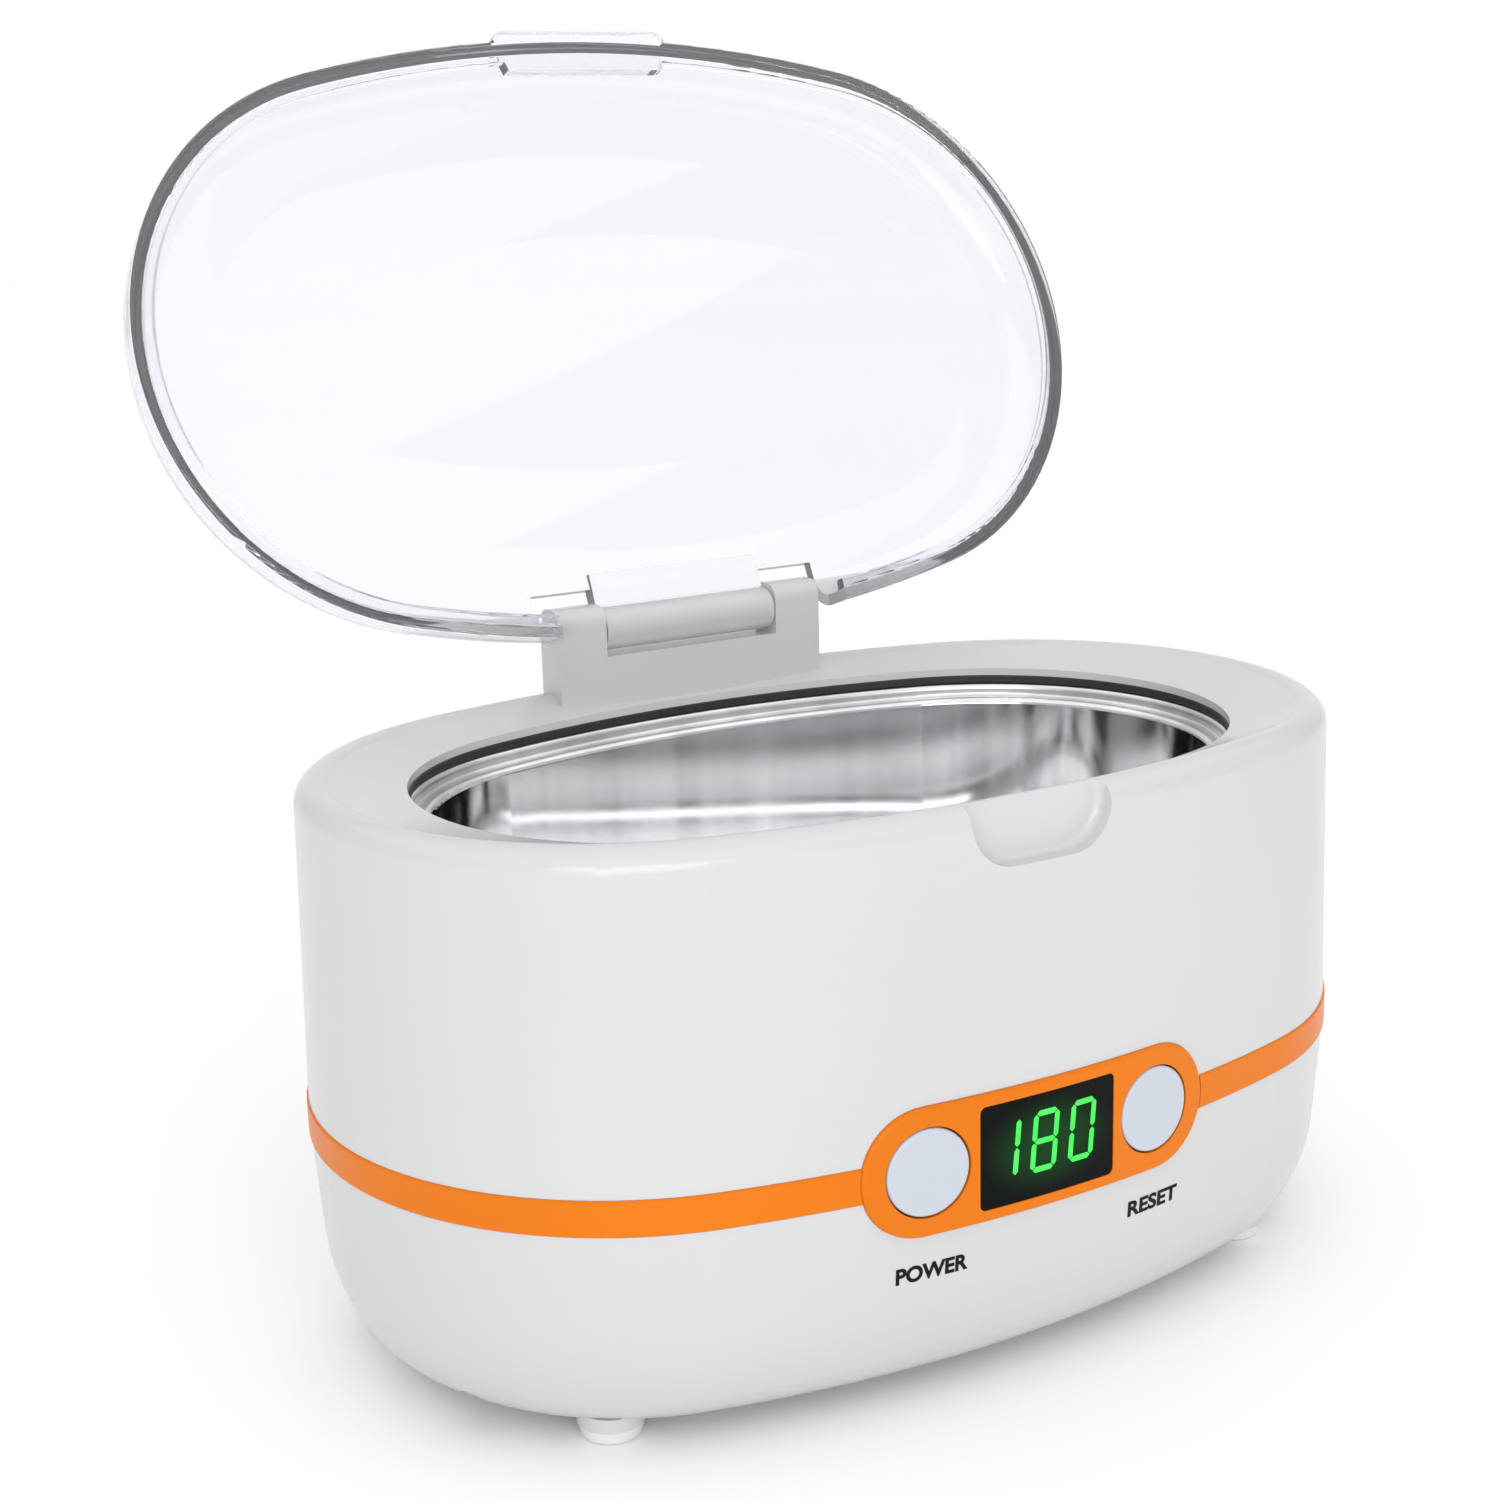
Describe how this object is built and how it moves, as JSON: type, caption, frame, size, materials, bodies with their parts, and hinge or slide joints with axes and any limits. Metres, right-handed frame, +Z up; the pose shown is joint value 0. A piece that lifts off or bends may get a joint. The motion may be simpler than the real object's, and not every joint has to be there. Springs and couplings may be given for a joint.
{
  "type": "ultrasonic cleaner",
  "caption": "Oval benchtop ultrasonic cleaner with a hinged clear lid, steel tank, coloured seam band and a front panel with display and push buttons.",
  "frame": {"origin": "bottom centre of the box round the open machine, on the plane of its four feet", "axes": "+Z up, front with the control panel towards -Y, long side of the oval along X"},
  "size_m": [0.2112, 0.168, 0.2373],
  "materials": {
    "white_casing": "smooth glossy moulded ABS",
    "orange_trim": "smooth satin-gloss moulded ABS",
    "foot_rubber": "matt pale rubber",
    "screw_steel": "zinc-plated steel",
    "black_rubber": "matt black rubber",
    "window_tint": "dark tinted acrylic",
    "module_black": "black moulded plastic",
    "button_white": "smooth pale moulded plastic",
    "board_green": "green solder mask",
    "tank_steel": "bright drawn stainless steel",
    "clip_steel": "stamped steel",
    "piezo_ceramic": "silvered ceramic disc",
    "ferrite": "dark sintered ferrite",
    "coil_tape": "yellow winding tape",
    "capacitor_sleeve": "dark printed sleeve",
    "sink_aluminium": "mill-finish extrusion",
    "fuse_glass": "clear glass with plated caps",
    "terminal_green": "green moulded nylon",
    "pin_steel": "ground steel",
    "clear_lid": "clear moulded plastic"
  },
  "bodies": {
    "base": {"upper_casing": "white_casing", "lower_casing": "white_casing", "band_trim": "orange_trim", "feet": "foot_rubber", "case_screws": "screw_steel", "cord_gland": "black_rubber", "control_panel": "orange_trim", "display_window": "window_tint", "display_module": "module_black", "panel_board": "board_green", "panel_switches": "module_black", "panel_board_screws": "screw_steel", "tank_seal": "black_rubber", "tank": "tank_steel", "tank_clamps": "clip_steel", "clamp_screws": "screw_steel", "transducer": "piezo_ceramic", "power_board": "board_green", "power_board_screws": "screw_steel", "transformer_core": "ferrite", "transformer_coil": "coil_tape", "output_inductor": "ferrite", "capacitors": "capacitor_sleeve", "heat_sink": "sink_aluminium", "drive_transistor": "module_black", "fuse_link": "fuse_glass", "terminal_block": "terminal_green", "hinge_pin": "pin_steel"},
    "lid": {"lid": "clear_lid"},
    "power_button": {"power_button": "button_white"},
    "reset_button": {"reset_button": "button_white"}
  },
  "joints": [
    {"name": "lid_hinge", "type": "hinge", "parent": "base", "child": "lid", "pos_m": [0, 0.03818, 0.1193], "axis": [1, 0, 0], "range_deg": [0, 112.5]},
    {"name": "power_press", "type": "slide", "parent": "base", "child": "power_button", "axis": [0, 1, 0], "range_m": [0, 0.0006], "stiffness_N_per_m": 600},
    {"name": "reset_press", "type": "slide", "parent": "base", "child": "reset_button", "axis": [0, 1, 0], "range_m": [0, 0.0006], "stiffness_N_per_m": 600}
  ]
}
